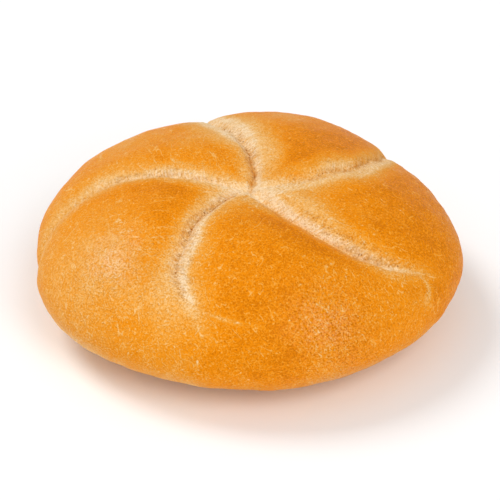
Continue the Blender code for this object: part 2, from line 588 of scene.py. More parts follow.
LEFT_FOLD = Fold(
    bearing=165,
    sweep=29,
    bend=3.8,
    hook=-2,
    depth=0.0024,
    fades=(0.66, 1.50),
    wall=0.007,
    slope=0.014,
    camber=0.0004,
    wander=(0.00012, 6.0, 1.0),
    wall_bake=Bake(
        (
            (0.00, 0.0035, 0.0120, 1.05),
            (0.10, 0.0030, 0.0140, 1.00),
            (0.17, 0.0024, 0.0120, 0.95),
            (0.24, 0.0022, 0.0075, 0.95),
            (0.42, 0.0024, 0.0075, 0.95),
            (0.54, 0.0034, 0.0084, 0.72),
            (0.70, 0.0034, 0.0084, 0.55),
            (0.90, 0.0030, 0.0075, 0.45),
            (1.10, 0.0020, 0.0050, 0.00),
        ),
        softness=0.0017,
        pale_part=0.42,
    ),
    slope_bake=Bake(
        (
            (0.00, 0.0020, 0.0085, 1.00),
            (0.12, 0.0016, 0.0066, 0.98),
            (0.20, 0.0024, 0.0074, 1.02),
            (0.30, 0.0034, 0.0088, 1.05),
            (0.37, 0.0028, 0.0082, 1.00),
            (0.42, 0.0021, 0.0078, 0.86),
            (0.50, 0.0044, 0.0110, 0.76),
            (0.58, 0.0046, 0.0110, 0.66),
            (0.66, 0.0040, 0.0085, 0.50),
            (0.80, 0.0040, 0.0100, 0.42),
            (1.00, 0.0020, 0.0080, 0.25),
            (1.20, 0.0020, 0.0050, 0.00),
        ),
        softness=0.0015,
        pale_part=0.45,
    ),
    crests=(Crest(0.07, 0.0080, 0.0028, 0.18, 0.42),),
    pores=(
        PoreRow(-0.0024, 0.0006, 0.26, 0.50, 40, seed=12, density=0.35),
        PoreRow(-0.0012, 0.0005, 0.12, 0.34, 16, seed=13, density=0.3),
    ),
)
FRONT_LEFT_FOLD = Fold(
    bearing=186,
    sweep=60,
    bend=0.35,
    hook=24,
    depth=0.0025,
    fades=(0.35, 0.78),
    wall=0.007,
    slope=0.014,
    camber=0.0001,
    wander=(0.00030, 3.6, 2.2),
    wall_bake=Bake(
        (
            (0.00, 0.0028, 0.0120, 1.05),
            (0.10, 0.0022, 0.0110, 1.00),
            (0.16, 0.0018, 0.0090, 0.98),
            (0.22, 0.0025, 0.0080, 1.00),
            (0.28, 0.0036, 0.0080, 1.03),
            (0.40, 0.0041, 0.0100, 1.02),
            (0.46, 0.0034, 0.0094, 1.06),
            (0.53, 0.0026, 0.0084, 1.04),
            (0.59, 0.0023, 0.0080, 1.02),
            (0.65, 0.0016, 0.0058, 0.85),
            (0.70, 0.0010, 0.0050, 0.48),
            (0.77, 0.0008, 0.0030, 0.00),
        ),
        softness=0.0011,
        pale_part=0.55,
    ),
    slope_bake=Bake(
        (
            (0.00, 0.0035, 0.0120, 1.00),
            (0.10, 0.0030, 0.0105, 0.92),
            (0.16, 0.0022, 0.0102, 0.86),
            (0.22, 0.0015, 0.0066, 0.86),
            (0.29, 0.0011, 0.0052, 0.86),
            (0.36, 0.0011, 0.0056, 0.86),
            (0.52, 0.0014, 0.0050, 0.92),
            (0.60, 0.0014, 0.0090, 0.84),
            (0.67, 0.0010, 0.0140, 0.64),
            (0.74, 0.0010, 0.0140, 0.40),
            (0.86, 0.0010, 0.0090, 0.00),
        ),
        softness=0.0009,
        pale_part=0.36,
    ),
    crests=(Crest(0.10, -0.0085, 0.0035, 0.20, 0.50), Crest(0.04, 0.0110, 0.0035, 0.22, 0.50)),
    crack_shades=(CrackShade(-0.0001, 0.00034, 0.0004, (0.03, 0.08), (0.26, 0.40), darkness=0.34, wander=0.00015),),
    pores=(
        PoreRow(-0.0003, 0.0006, 0.10, 0.62, 90, seed=14, density=0.70),
        PoreRow(0.0022, 0.0009, 0.24, 0.56, 26, seed=15, density=0.3),
    ),
)
FRONT_RIGHT_FOLD = Fold(
    bearing=298,
    sweep=29,
    bend=1.5,
    hook=11,
    depth=0.0025,
    fades=(0.45, 0.89),
    wall=0.007,
    slope=0.013,
    camber=0.0,
    wander=(0.00014, 5.5, 0.2),
    wall_bake=Bake(
        (
            (0.00, 0.0040, 0.0160, 1.10),
            (0.10, 0.0030, 0.0160, 1.10),
            (0.16, 0.0020, 0.0170, 1.10),
            (0.22, 0.0018, 0.0155, 1.08),
            (0.28, 0.0018, 0.0140, 1.06),
            (0.34, 0.0018, 0.0108, 1.04),
            (0.40, 0.0018, 0.0086, 1.02),
            (0.46, 0.0016, 0.0070, 1.00),
            (0.52, 0.0015, 0.0060, 1.00),
            (0.58, 0.0010, 0.0044, 0.90),
            (0.65, 0.0006, 0.0034, 0.70),
            (0.71, 0.0005, 0.0030, 0.60),
            (0.79, 0.0004, 0.0020, 0.00),
        ),
        softness=0.0009,
        pale_part=0.46,
    ),
    slope_bake=Bake(
        (
            (0.00, 0.0030, 0.0110, 1.05),
            (0.10, 0.0018, 0.0125, 0.98),
            (0.15, 0.0006, 0.0085, 0.90),
            (0.22, 0.0003, 0.0052, 0.80),
            (0.50, 0.0003, 0.0044, 0.80),
            (0.57, 0.0011, 0.0046, 0.95),
            (0.64, 0.0016, 0.0066, 0.95),
            (0.70, 0.0012, 0.0074, 0.70),
            (0.77, 0.0010, 0.0050, 0.40),
            (0.85, 0.0008, 0.0030, 0.00),
        ),
        softness=0.0007,
        pale_part=0.50,
    ),
    crests=(Crest(0.17, -0.0042, 0.0034, 0.18, 0.48),),
    crack_shades=(
        # Two soft bands of painted shade with no depth: along the fold's own line, and on the front petal's
        # edge just below it
        CrackShade(-0.0003, 0.00080, 0.0, (0.12, 0.20), (0.56, 0.66), darkness=0.36, wander=0.00012),
        CrackShade(-0.0014, 0.00130, 0.0, (0.08, 0.16), (0.44, 0.60), darkness=0.34, wander=0.00010),
    ),
    pores=(
        PoreRow(0.0024, 0.0007, 0.26, 0.54, 30, seed=16, density=0.4),
        PoreRow(0.0006, 0.0005, 0.46, 0.66, 20, seed=17, density=0.8),
    ),
    aside=0.0006,
)
RIGHT_FOLD = Fold(
    bearing=365,
    sweep=41,
    bend=1.5,
    hook=-4,
    depth=0.0011,
    fades=(0.32, 1.45),
    wall=0.007,
    slope=0.015,
    camber=0.0005,
    wander=(0.00045, 4.2, 2.6),
    wall_bake=Bake(
        (
            (0.00, 0.0035, 0.0140, 1.10),
            (0.09, 0.0024, 0.0150, 0.80),
            (0.16, 0.0010, 0.0115, 0.70),
            (0.22, 0.0012, 0.0084, 0.70),
            (0.28, 0.0024, 0.0084, 0.84),
            (0.36, 0.0025, 0.0100, 0.84),
            (0.46, 0.0015, 0.0062, 0.74),
            (0.58, 0.0013, 0.0054, 0.68),
            (0.68, 0.0013, 0.0060, 0.66),
            (1.10, 0.0014, 0.0050, 0.00),
        ),
        softness=0.0012,
        pale_part=0.40,
    ),
    slope_bake=Bake(
        (
            (0.00, 0.0050, 0.0140, 1.15),
            (0.10, 0.0070, 0.0160, 0.96),
            (0.16, 0.0070, 0.0180, 0.80),
            (0.22, 0.0045, 0.0170, 0.76),
            (0.28, 0.0045, 0.0140, 0.76),
            (0.36, 0.0055, 0.0122, 0.76),
            (0.46, 0.0056, 0.0130, 0.86),
            (0.52, 0.0048, 0.0115, 0.88),
            (0.58, 0.0040, 0.0088, 0.86),
            (0.68, 0.0038, 0.0070, 0.85),
            (0.90, 0.0030, 0.0065, 0.75),
            (1.20, 0.0015, 0.0050, 0.00),
        ),
        softness=0.0015,
        pale_part=0.45,
    ),
    crests=(Crest(0.04, 0.0100, 0.0035, 0.20, 0.60),),
    crack_shades=(CrackShade(0.0004, 0.00042, 0.0004, (0.14, 0.30), (0.75, 0.95), darkness=0.34, wander=0.0003),),
    pores=(PoreRow(0.0004, 0.0009, 0.16, 0.66, 44, seed=18, density=0.42),),
)
FOLDS = (BACK_FOLD, LEFT_FOLD, FRONT_LEFT_FOLD, FRONT_RIGHT_FOLD, RIGHT_FOLD)


@dataclass(frozen=True)
class Crease:
    """A faint crease of the skin, bowed between two places on the crust."""

    start: Span  # bearing in degrees and share of the belly's radius
    end: Span
    bow: float  # how far its middle bulges to the left of the way from start to end
    depth: float
    half_width: float
    paleness: float

    line_points = 40
    end_strength = 0.08

    def line(self, body: DoughBody) -> Array:
        """Lays the crease out in plan.

        Args:
            body: the body that it lies on.

        Returns:
            Rows of x and y along it.
        """
        ends = []
        for bearing, share in (self.start, self.end):
            angle = np.array([math.radians(bearing)])
            radius = body.rim_radius(angle)[0] * share
            ends.append(np.array([radius * math.cos(angle[0]), radius * math.sin(angle[0])]))
        way = ends[1] - ends[0]
        aside = np.array([-way[1], way[0]]) / np.linalg.norm(way)
        step = np.linspace(0.0, 1.0, self.line_points)[:, None]
        return ends[0] + way * step + aside * self.bow * 4.0 * step * (1.0 - step)

    def mask(self, body: DoughBody, bearing: Array, travel: Array) -> Array:
        """Finds how far into the crease each point lies.

        Args:
            body: the body that it lies on.
            bearing: the points' bearings, in radians.
            travel: the points' travels.

        Returns:
            The mask, 1 on the crease's line and 0 away from it.
        """
        radius = body.rim_radius(bearing) * body.plan_share(travel)
        place = np.stack([radius * np.cos(bearing), radius * np.sin(bearing)], axis=1)
        line = self.line(body)
        nearest = np.full(len(place), np.inf)
        best = np.zeros(len(place))
        for number, point in enumerate(line):
            distance = np.hypot(place[:, 0] - point[0], place[:, 1] - point[1])
            closer = distance < nearest
            nearest = np.where(closer, distance, nearest)
            best = np.where(closer, number / (len(line) - 1), best)
        inside = self.end_strength + (1.0 - 2.0 * self.end_strength) * best
        taper = np.sqrt(np.sin(math.pi * inside))
        return np.where(travel < 1.0, taper * np.exp(-((nearest / self.half_width) ** 2)), 0.0)


CREASES = (
    Crease((251, 0.82), (268, 0.88), -0.0010, 0.00022, 0.0006, 0.5),
    Crease((268, 0.88), (274, 0.90), 0.0002, 0.00012, 0.0005, 0.25),
    Crease((327, 0.86), (323, 0.98), 0.0028, 0.00016, 0.0006, 0.7),
    Crease((150, 0.80), (168, 0.90), -0.0008, 0.00012, 0.0005, 0.2),
    Crease((196, 0.66), (214, 0.70), -0.0007, 0.00010, 0.0004, 0.15),
    Crease((283, 0.52), (296, 0.66), 0.0005, 0.00008, 0.0004, 0.15),
    Crease((338, 0.52), (330, 0.60), -0.0005, 0.00010, 0.0004, 0.15),
    Crease((30, 0.42), (18, 0.62), -0.0010, 0.00012, 0.0005, 0.3),
)


@dataclass(frozen=True)
class Patch:
    """A soft-edged patch of the crust that is unlike the rest."""

    mark: Mark
    bearing: float  # degrees anticlockwise from +X
    share: float  # how far out, as a share of the belly's radius
    radius: float
    amount: float

    lowest_travel = 1.4

    def mask(self, body: DoughBody, bearing: Array, travel: Array) -> Array:
        """Finds how far into the patch each point lies.

        Args:
            body: the body that it lies on.
            bearing: the points' bearings, in radians.
            travel: the points' travels.

        Returns:
            The mask, up to the patch's own amount.
        """
        angle = math.radians(self.bearing)
        radius = body.rim_radius(bearing) * body.plan_share(travel)
        centre = body.rim_radius(np.array([angle]))[0] * self.share
        along_x = radius * np.cos(bearing) - centre * math.cos(angle)
        along_y = radius * np.sin(bearing) - centre * math.sin(angle)
        strength = self.amount * np.exp(-((np.hypot(along_x, along_y) / self.radius) ** 2))
        return np.where(travel < self.lowest_travel, strength, 0.0)


PATCHES = (
    Patch(Mark.BROWN, 152, 0.47, 0.0016, 0.20),
    Patch(Mark.BROWN, 333, 0.64, 0.0016, 0.22),
    Patch(Mark.BROWN, 24, 0.58, 0.0010, 0.35),
    Patch(Mark.BROWN, 283, 0.68, 0.0200, 0.06),
    Patch(Mark.BROWN, 276, 1.00, 0.0190, 0.10),
    Patch(Mark.BROWN, 354, 0.74, 0.0170, 0.18),
    Patch(Mark.BROWN, 296, 0.95, 0.0070, 0.12),
    Patch(Mark.BROWN, 282, 0.45, 0.0080, 0.06),
    Patch(Mark.BROWN, 328, 0.98, 0.0100, 0.09),
    Patch(Mark.BROWN, 46, 0.58, 0.0150, 0.17),
    Patch(Mark.BROWN, 192, 0.45, 0.0100, 0.05),
    Patch(Mark.BROWN, 34, 0.17, 0.0050, 0.18),
    # Paler partly for a lighter bake and partly as a painted highlight, where the key light's sheen falls on
    # the left petal
    Patch(Mark.GOLDEN_AND_SHEEN, 218, 0.80, 0.0150, 0.25),
    Patch(Mark.GOLDEN_AND_SHEEN, 208, 1.00, 0.0140, 0.08),
    Patch(Mark.GOLDEN_AND_SHEEN, 226, 1.08, 0.0120, 0.06),
    Patch(Mark.GOLDEN_AND_SHEEN, 253, 1.03, 0.0055, 0.12),
    Patch(Mark.GOLDEN_AND_SHEEN, 290, 1.05, 0.0045, 0.18),
    Patch(Mark.GOLDEN_AND_SHEEN, 74, 0.66, 0.0075, 0.18),
    Patch(Mark.GOLDEN_AND_SHEEN, 5, 0.53, 0.0060, 0.09),
    Patch(Mark.GOLDEN_AND_SHEEN, 356, 0.95, 0.0070, 0.10),
    Patch(Mark.GOLDEN_AND_SHEEN, 176, 0.86, 0.0120, 0.08),
    Patch(Mark.GOLDEN_AND_SHEEN, 322, 0.88, 0.0050, 0.08),
    # Paler partly for a lighter bake and partly as a painted highlight, where the sheen falls low on the
    # front petal
    Patch(Mark.GOLDEN_AND_SHEEN, 294, 0.89, 0.0080, 0.14),
    Patch(Mark.GOLDEN_AND_SHEEN, 246, 0.92, 0.0050, 0.12),
    Patch(Mark.GOLDEN_AND_SHEEN, 137, 0.84, 0.0120, 0.21),
    Patch(Mark.GOLDEN_AND_SHEEN, 122, 0.48, 0.0070, 0.09),
    Patch(Mark.WRINKLED, 172, 0.78, 0.0090, 1.0),
    Patch(Mark.WRINKLED, 228, 0.95, 0.0120, 0.8),
    Patch(Mark.WRINKLED, 268, 0.97, 0.0120, 0.5),
    Patch(Mark.WRINKLED, 355, 0.90, 0.0100, 0.5),
    # Painted glints of the sheen over the blisters, where the highlights fall on the front and the left
    # petals
    Patch(Mark.BLISTERS_AND_GLINTS, 293, 0.92, 0.0085, 1.0),
    Patch(Mark.BLISTERS_AND_GLINTS, 222, 0.78, 0.0110, 0.3),
    Patch(Mark.GLOSSY, 221, 0.78, 0.0100, 1.0),
    Patch(Mark.GLOSSY, 293, 0.90, 0.0090, 1.0),
)


@dataclass(frozen=True)
class Skin:
    """The relief of the crust's skin: lumps, dents, pebbling and fine wrinkles."""

    lump_height: float = 0.00009
    lump_length: float = 0.016
    dent_height: float = 0.000045
    dent_length: float = 0.0058
    pebble_height: float = 0.000016
    pebble_length: float = 0.0021
    torn_height: float = 0.00004
    torn_length: float = 0.0017
    wrinkle_height: float = 0.00009
    wrinkle_length: float = 0.0032
    wrinkle_stretch: float = 3.2
    wrinkle_radius: float = 0.05
    ridge_half_width: float = 0.45
    ridge_floor: float = -0.5
    sole_dent: float = 0.00035
    sole_waves: tuple[Span, ...] = ((0.6, 0.009), (0.3, 0.004))  # share of the dent, and length
    deepest_dent: float = 1.6

    def relief(self, points: Array, pale: Array, wrinkled: Array) -> Array:
        """Finds the skin's rise and fall.

        Args:
            points: the places on the plain form.
            pale: how pale the dough is there.
            wrinkled: how wrinkled the skin is there.

        Returns:
            How far each place is raised.
        """
        total = self.lump_height * wave_noise(points, self.lump_length, seed=21)
        total = total + self.dent_height * wave_noise(points, self.dent_length, seed=22)
        total = total + self.pebble_height * wave_noise(points, self.pebble_length, seed=23, count=48)
        total = total + self.torn_height * pale * wave_noise(points, self.torn_length, seed=24, count=40)
        return total + self.wrinkle_height * wrinkled * self.wrinkles(points)

    def wrinkles(self, points: Array) -> Array:
        """Draws fine ridges that run round the roll.

        Args:
            points: the places on the plain form.

        Returns:
            Each place's share of a ridge's height, from -0.5 to 1.
        """
        bearing = np.arctan2(points[:, 1], points[:, 0])
        radius = np.hypot(points[:, 0], points[:, 1])
        round_it = bearing * self.wrinkle_radius / self.wrinkle_stretch
        skin = np.stack([round_it, radius, points[:, 2]], axis=1)
        wave = wave_noise(skin, self.wrinkle_length, seed=25)
        ridge = np.exp(-((wave / self.ridge_half_width) ** 2))
        return (1.0 - self.ridge_floor) * ridge + self.ridge_floor

    def sole_relief(self, points: Array, underside: Array) -> Array:
        """Finds the shallow hollows of the sole.

        Args:
            points: the places on the plain form.
            underside: how far each lies inside the sole, from 0 at its rim to 1.

        Returns:
            How far each place is raised off the ground.
        """
        wave = np.zeros(len(points))
        for seed, (share, length) in enumerate(self.sole_waves, start=26):
            wave += share * wave_noise(points, length, seed)
        return self.sole_dent * underside * np.clip(wave, 0.0, self.deepest_dent)


class Mixed(Enum):
    """What a Mix node mixes: its data type, then the places of its two inputs and of its output."""

    NUMBERS = ("FLOAT", 2, 3, 0)
    COLOURS = ("RGBA", 6, 7, 2)


class Wiring:
    """Adds the nodes of one shader tree and joins them."""

    def __init__(self, tree: bpy.types.NodeTree) -> None:
        """Takes the node tree of a material, a world or a node group to work in."""
        self.tree = tree

    def node(self, kind: str, **settings: object) -> bpy.types.Node:
        """Adds a node.

        Args:
            kind: the node's type name.
            **settings: its properties.

        Returns:
            The node.
        """
        made = self.tree.nodes.new(kind)
        for name, value in settings.items():
            setattr(made, name, value)
        return made

    def feed(self, socket: Socket, value: Input) -> None:
        """Gives an input its value.

        Args:
            socket: the input.
            value: another node's output, or a plain value.
        """
        if isinstance(value, Socket):
            self.tree.links.new(value, socket)
        else:
            socket.default_value = value

    def maths(self, operation: str, *values: Input) -> Socket:
        """Works out one number from up to three others.

        Args:
            operation: the Math node's operation.
            *values: the numbers that it works on.

        Returns:
            The result's output.
        """
        made = self.node("ShaderNodeMath", operation=operation)
        for socket, value in zip(made.inputs, values):
            self.feed(socket, value)
        return made.outputs[0]

    def times(self, first: Input, second: Input) -> Socket:
        """Multiplies two numbers."""
        return self.maths("MULTIPLY", first, second)

    def larger(self, first: Input, second: Input) -> Socket:
        """Takes the larger of two numbers."""
        return self.maths("MAXIMUM", first, second)

    def plus(self, total: Input, *parts: tuple[Input, Input]) -> Socket:
        """Adds weighted numbers to a total.

        Args:
            total: the number that they are added to.
            *parts: each number with its weight.

        Returns:
            The result's output.
        """
        for value, weight in parts:
            total = self.maths("MULTIPLY_ADD", value, weight, total)
        return total

    def clamped(self, value: Input) -> Socket:
        """Keeps a number between 0 and 1.

        Args:
            value: the number.

        Returns:
            The result's output.
        """
        made = self.node("ShaderNodeClamp")
        self.feed(made.inputs["Value"], value)
        return made.outputs["Result"]

    def eased(self, value: Input, low: Input, high: Input) -> Socket:
        """Eases a number from 0 at low to 1 at high.

        Args:
            value: the number.
            low: where it gives 0.
            high: where it gives 1.

        Returns:
            The result's output.
        """
        made = self.node("ShaderNodeMapRange", interpolation_type="SMOOTHSTEP", clamp=True)
        self.feed(made.inputs["Value"], value)
        self.feed(made.inputs["From Min"], low)
        self.feed(made.inputs["From Max"], high)
        return made.outputs["Result"]

    def mixed(self, what: Mixed, share: Input, first: Input, second: Input, how: str = "MIX") -> Socket:
        """Mixes two numbers or two colours.

        Args:
            what: numbers or colours.
            share: how much of the second is taken.
            first: the first of them.
            second: the second of them.
            how: the Mix node's way of mixing.

        Returns:
            The result's output.
        """
        kind, first_input, second_input, result = what.value
        made = self.node("ShaderNodeMix", data_type=kind, blend_type=how, clamp_factor=True)
        self.feed(made.inputs[0], share)
        self.feed(made.inputs[first_input], first)
        self.feed(made.inputs[second_input], second)
        return made.outputs[result]

    def blend(self, share: Input, first: Input, second: Input) -> Socket:
        """Mixes two numbers, with that share of the second."""
        return self.mixed(Mixed.NUMBERS, share, first, second)

    def tint(self, share: Input, first: Input, second: Input) -> Socket:
        """Mixes two colours, with that share of the second."""
        return self.mixed(Mixed.COLOURS, share, first, second)

    def shaded(self, share: Input, colour: Input, shade: Input) -> Socket:
        """Darkens a colour by a shade, wholly where the share is 1."""
        return self.mixed(Mixed.COLOURS, share, colour, shade, how="MULTIPLY")

    def vector_maths(self, operation: str, place: Input, by: Input, output: str = "Vector") -> Socket:
        """Stretches, shifts or measures a place.

        Args:
            operation: the Vector Math node's operation.
            place: the place.
            by: what it is stretched, shifted or measured by.
            output: which of the node's outputs is taken.

        Returns:
            The result's output.
        """
        made = self.node("ShaderNodeVectorMath", operation=operation)
        self.feed(made.inputs[0], place)
        self.feed(made.inputs[1], by)
        return made.outputs[output]

    def noise(self, place: Input, scale: Input, detail: Input) -> Socket:
        """Adds smooth noise.

        Args:
            place: the surface's place.
            scale: how many waves there are in a metre.
            detail: how much finer detail it has.

        Returns:
            The output of the noise, which is 0.5 on average.
        """
        made = self.node("ShaderNodeTexNoise", noise_dimensions="3D")
        for name, value in (("Vector", place), ("Scale", scale), ("Detail", detail)):
            self.feed(made.inputs[name], value)
        return made.outputs["Fac"]

    def cells(self, place: Input, spacing: Input) -> bpy.types.Node:
        """Scatters cells.

        Args:
            place: the surface's place.
            spacing: how far apart the cells are.

        Returns:
            The node, which gives each cell a random colour, and the distance from its middle in spacings.
        """
        made = self.node("ShaderNodeTexVoronoi", voronoi_dimensions="3D", feature="F1")
        self.feed(made.inputs["Vector"], place)
        self.feed(made.inputs["Scale"], self.maths("DIVIDE", 1.0, spacing))
        return made

    def mask(self, name: str) -> Socket:
        """Reads one of the mesh's own masks by its name."""
        return self.node("ShaderNodeAttribute", attribute_name=name).outputs["Fac"]

    def petal_place(self) -> Socket:
        """Reads the mesh's own places across and along the petals."""
        return self.node("ShaderNodeAttribute", attribute_name=PETAL_PLACE).outputs["Vector"]

    def place(self, group: bpy.types.NodeTree, **values: Input) -> Socket:
        """Places a node group with its own values.

        Args:
            group: the node group.
            **values: its inputs by name.

        Returns:
            The group's one output.
        """
        made = self.node("ShaderNodeGroup", node_tree=group)
        for name, value in values.items():
            self.feed(made.inputs[name], value)
        return made.outputs[0]


@dataclass(frozen=True)
class Effect:
    """A shader node group with one output, built once and placed wherever it is needed."""

    name: str
    inputs: tuple[str, ...]

    def start(self) -> tuple[bpy.types.NodeTree, Wiring, dict[str, Socket]]:
        """Opens the group with its sockets.

        Returns:
            The group, the wiring to fill it with, and its inputs by name, the surface's place among them.
        """
        group = bpy.data.node_groups.new(self.name, "ShaderNodeTree")
        group.interface.new_socket("Place", in_out="INPUT", socket_type="NodeSocketVector")
        for name in self.inputs:
            group.interface.new_socket(name, in_out="INPUT", socket_type="NodeSocketFloat")
        group.interface.new_socket("Value", in_out="OUTPUT", socket_type="NodeSocketFloat")
        wiring = Wiring(group)
        sockets = wiring.node("NodeGroupInput").outputs
        return group, wiring, {name: sockets[name] for name in ("Place", *self.inputs)}

    def close(self, wiring: Wiring, value: Socket) -> None:
        """Joins the group's result to its output."""
        wiring.feed(wiring.node("NodeGroupOutput").inputs["Value"], value)


@dataclass(frozen=True)
class Mottling(Effect):
    """Soft unevenness of one size, mostly between -1 and 1."""

    name: str = "mottling"
    inputs: tuple[str, ...] = ("Length", "Fineness")
    swing: float = 3.6

    def build(self) -> bpy.types.NodeTree:
        """Builds the group.

        Returns:
            The node group.
        """
        group, wiring, given = self.start()
        scale = wiring.maths("DIVIDE", 1.0, given["Length"])
        noise = wiring.noise(given["Place"], scale, given["Fineness"])
        self.close(wiring, wiring.times(wiring.maths("SUBTRACT", noise, 0.5), self.swing))
        return group


@dataclass(frozen=True)
class Flecks(Effect):
    """Scattered soft dots of uneven size and strength, from 0 to 1."""

    name: str = "flecks"
    inputs: tuple[str, ...] = ("Spacing", "Size", "Share")
    smallest: float = 0.5
    size_spread: float = 0.9
    faintest: float = 0.3
    strength_spread: float = 0.7
    core: float = 0.35  # the share of a dot that is at full strength

    def build(self) -> bpy.types.NodeTree:
        """Builds the group.

        Returns:
            The node group.
        """
        group, wiring, given = self.start()
        cells = wiring.cells(given["Place"], given["Spacing"])
        lots = wiring.node("ShaderNodeSeparateColor")
        wiring.feed(lots.inputs[0], cells.outputs["Color"])
        chance, size, strength = lots.outputs
        reach = wiring.maths("DIVIDE", given["Size"], given["Spacing"])
        reach = wiring.times(reach, wiring.plus(self.smallest, (size, self.size_spread)))
        dot = wiring.eased(cells.outputs["Distance"], reach, wiring.times(reach, self.core))
        chosen = wiring.maths("LESS_THAN", chance, given["Share"])
        strength = wiring.plus(self.faintest, (strength, self.strength_spread))
        self.close(wiring, wiring.times(wiring.times(dot, chosen), strength))
        return group


@dataclass(frozen=True)
class Pebbles(Effect):
    """Close-set rounded bumps, about 1 on their tops and less than 0 between them."""

    name: str = "pebbles"
    inputs: tuple[str, ...] = ("Spacing",)
    top: float = 1.35
    fall: float = -2.8

    def build(self) -> bpy.types.NodeTree:
        """Builds the group.

        Returns:
            The node group.
        """
        group, wiring, given = self.start()
        cells = wiring.cells(given["Place"], given["Spacing"])
        self.close(wiring, wiring.plus(self.top, (cells.outputs["Distance"], self.fall)))
        return group


@dataclass(frozen=True)
class Hairlines(Effect):
    """Short fine curved lines, from 0 to 1."""

    name: str = "hairlines"
    inputs: tuple[str, ...] = ("Length", "Width", "Share")
    core: float = 0.2  # the share of a line's width that is at full strength
    bend_detail: float = 1.0
    break_detail: float = 2.0
    breaks_in_length: float = 1.6
    break_shift: Triple = (0.31, 0.17, 0.23)
    all_broken: float = 0.72  # the noise below which a line is broken, where the share is 0
    share_weight: float = 0.4
    break_softness: float = 0.06

    def build(self) -> bpy.types.NodeTree:
        """Builds the group.

        Returns:
            The node group.
        """
        group, wiring, given = self.start()
        scale = wiring.maths("DIVIDE", 1.0, given["Length"])
        bends = wiring.noise(given["Place"], scale, self.bend_detail)
        from_line = wiring.maths("ABSOLUTE", wiring.maths("SUBTRACT", bends, 0.5))
        line = wiring.eased(from_line, given["Width"], wiring.times(given["Width"], self.core))
        shifted = wiring.vector_maths("ADD", given["Place"], self.break_shift)
        scale = wiring.maths("DIVIDE", self.breaks_in_length, given["Length"])
        breaks = wiring.noise(shifted, scale, self.break_detail)
        low = wiring.maths("SUBTRACT", self.all_broken, wiring.times(given["Share"], self.share_weight))
        present = wiring.eased(breaks, low, wiring.maths("ADD", low, self.break_softness))
        self.close(wiring, wiring.times(line, present))
        return group


class EffectShelf:
    """The shared shader node groups, each built once."""

    def __init__(self) -> None:
        """Builds the groups."""
        self.mottling = Mottling().build()
        self.flecks = Flecks().build()
        self.pebbles = Pebbles().build()
        self.hairlines = Hairlines().build()


@dataclass(frozen=True)
class CrustMasks:
    """The outputs of the mottling and masks that the crust's colour, roughness and relief share."""

    broad: Socket
    middling: Socket
    grain: Socket
    fibres: Socket
    pebbles: Socket
    flecks: Socket
    lines: Socket
    pores: Socket
    pale: Socket


@dataclass(frozen=True)
class BakeWeights:
    """How much each pattern browns the crust and the pale dough, where less than 0 makes them paler."""

    broad: float = 0.060
    middling: float = 0.075
    grain: Span = (-0.12, -0.20)  # on smooth crust, and on blisters, where the extra paints glints of the sheen
    pebbles: Span = (-0.05, -0.16)  # paler pebble tops: a faint painted highlight on smooth crust, and painted glints of the sheen on blisters
    flecks: float = -0.30
    lines: float = -0.40
    detail: Span = (0.55, 1.0)  # how much flecks, lines and grain count on golden crust, and on brown crust
    dough_middling: float = 0.13
    dough_grain: float = -0.06
    dough_fibres: float = 0.19
    torn: float = 0.08
    pores: float = 0.15


@dataclass(frozen=True)
class CrustHeights:
    """How high the relief that is finer than the mesh stands, in metres."""

    grain: Span = (0.000070, 0.000120)  # on crust, and on pale dough
    pebbles: Span = (0.000045, 0.000130)  # on plain crust, and on glossy crust
    flecks: float = 0.000050
    lines: float = 0.000050
    pores: float = -0.00012


